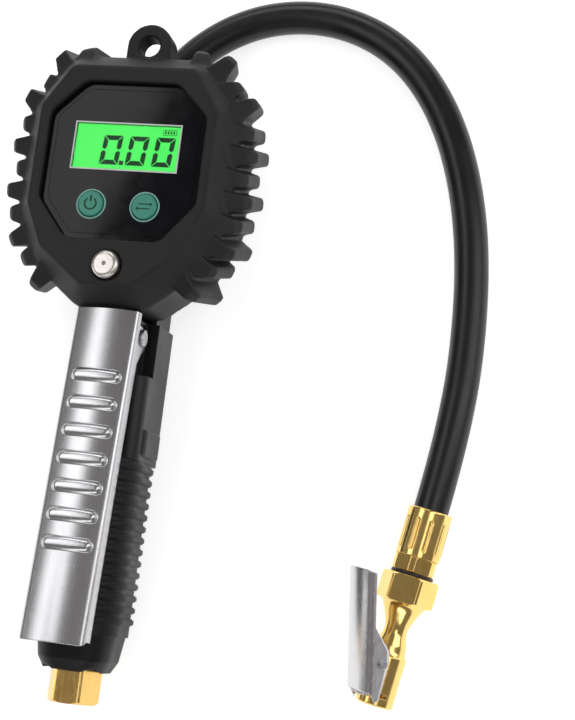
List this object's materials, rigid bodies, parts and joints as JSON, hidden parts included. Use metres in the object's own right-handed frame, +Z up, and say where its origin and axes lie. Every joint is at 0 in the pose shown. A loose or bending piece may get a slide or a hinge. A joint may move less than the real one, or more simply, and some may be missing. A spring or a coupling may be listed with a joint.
{
  "type": "tyre inflator with gauge",
  "caption": "Hand-held tyre inflator: squeeze lever on a ribbed grip, round digital gauge head in a rubber boot, air hose and clip-on brass chuck.",
  "frame": {"origin": "centre of the tool without its hose, on the surface its back lies on", "axes": "+X to the right of the display, +Y along the handle towards the gauge head, +Z up out of the display"},
  "size_m": [0.179, 0.2711, 0.05],
  "materials": {
    "boot_rubber": "matte moulded rubber",
    "housing": "fine texture",
    "panel": "gloss",
    "window": "clear",
    "display": "backlit green",
    "backlight": "white diffuser",
    "key": "satin green",
    "switch": "plain",
    "board": "solder mask",
    "sensor": "drawn steel",
    "seal": "smooth rubber",
    "cell": "printed sleeve, no marks",
    "contact": "nickel plate",
    "screw": "zinc plate",
    "nickel": "nickel plate",
    "stem": "turned",
    "spring": "drawn wire",
    "handle": "satin moulding",
    "grip_rubber": "satin rubber",
    "inlet_brass": "turned",
    "screen": "woven wire",
    "lever_steel": "polished",
    "pin": "plated",
    "plunger": "turned",
    "hose_rubber": "satin rubber",
    "hose_brass": "polished",
    "clip_steel": "pressed"
  },
  "bodies": {
    "base": {"boot": "boot_rubber", "front_housing": "housing", "rear_housing": "housing", "battery_door": "housing", "face_panel": "panel", "lcd_window": "window", "lcd_panel": "display", "lcd_backlight": "backlight", "tact_switches": "switch", "board_chips": "switch", "circuit_board": "board", "pressure_sensor": "sensor", "sensor_seal": "seal", "plunger_seal": "seal", "chuck_seal": "seal", "chuck_ring_seal": "seal", "aaa_batteries": "cell", "battery_contacts": "contact", "battery_door_screw": "screw", "housing_screws": "screw", "head_screws": "screw", "passage_plugs": "screw", "bleed_bush": "stem", "plunger_bush": "stem", "bleed_spring": "spring", "plunger_spring": "spring", "chuck_spring": "spring", "valve_body": "handle", "grip_sleeve": "grip_rubber", "inlet_nut": "inlet_brass", "inlet_screen": "screen", "lever_pin": "pin", "chuck_pin": "pin", "hose": "hose_rubber", "ferrule_head": "hose_brass", "hose_fitting_head": "hose_brass", "ferrule_chuck": "hose_brass", "hose_fitting_chuck": "hose_brass", "chuck_body": "hose_brass", "chuck_depressor": "hose_brass"},
    "lever_arm": {"lever": "lever_steel"},
    "valve": {"valve_plunger": "plunger", "valve_disc": "seal"},
    "bleed": {"bleed_button": "nickel", "bleed_stem": "stem", "bleed_seal": "seal"},
    "power_key": {"power_button": "key"},
    "units_key": {"units_button": "key"},
    "clip": {"chuck_clip": "clip_steel"}
  },
  "joints": [
    {"name": "lever_pivot", "type": "hinge", "parent": "base", "child": "lever_arm", "pos_m": [0, 0.006, 0.031], "axis": [1, 0, 0], "range_deg": [0, 4], "stiffness_Nm_per_rad": 1.2, "springref_deg": -4.58},
    {"name": "valve_slide", "type": "slide", "parent": "base", "child": "valve", "axis": [0, 0, -1], "range_m": [0, 0.0016], "deforming": ["plunger_spring"]},
    {"name": "bleed_press", "type": "slide", "parent": "base", "child": "bleed", "axis": [0, 0, -1], "range_m": [0, 0.002], "stiffness_N_per_m": 900, "springref_m": -0.001, "deforming": ["bleed_spring"]},
    {"name": "power_press", "type": "slide", "parent": "base", "child": "power_key", "axis": [0, 0, -1], "range_m": [0, 0.0006], "stiffness_N_per_m": 1500, "springref_m": -0.0003},
    {"name": "units_press", "type": "slide", "parent": "base", "child": "units_key", "axis": [0, 0, -1], "range_m": [0, 0.0006], "stiffness_N_per_m": 1500, "springref_m": -0.0003},
    {"name": "clip_pivot", "type": "hinge", "parent": "base", "child": "clip", "pos_m": [0.1041, -0.09698, 0.01393], "axis": [-0.7184, 0.137, -0.682], "range_deg": [0, 12], "stiffness_Nm_per_rad": 0.1, "springref_deg": -8.59}
  ],
  "couplings": [
    {"joint": "valve_slide", "follows": "lever_pivot", "m_per_rad": 0.0225}
  ]
}
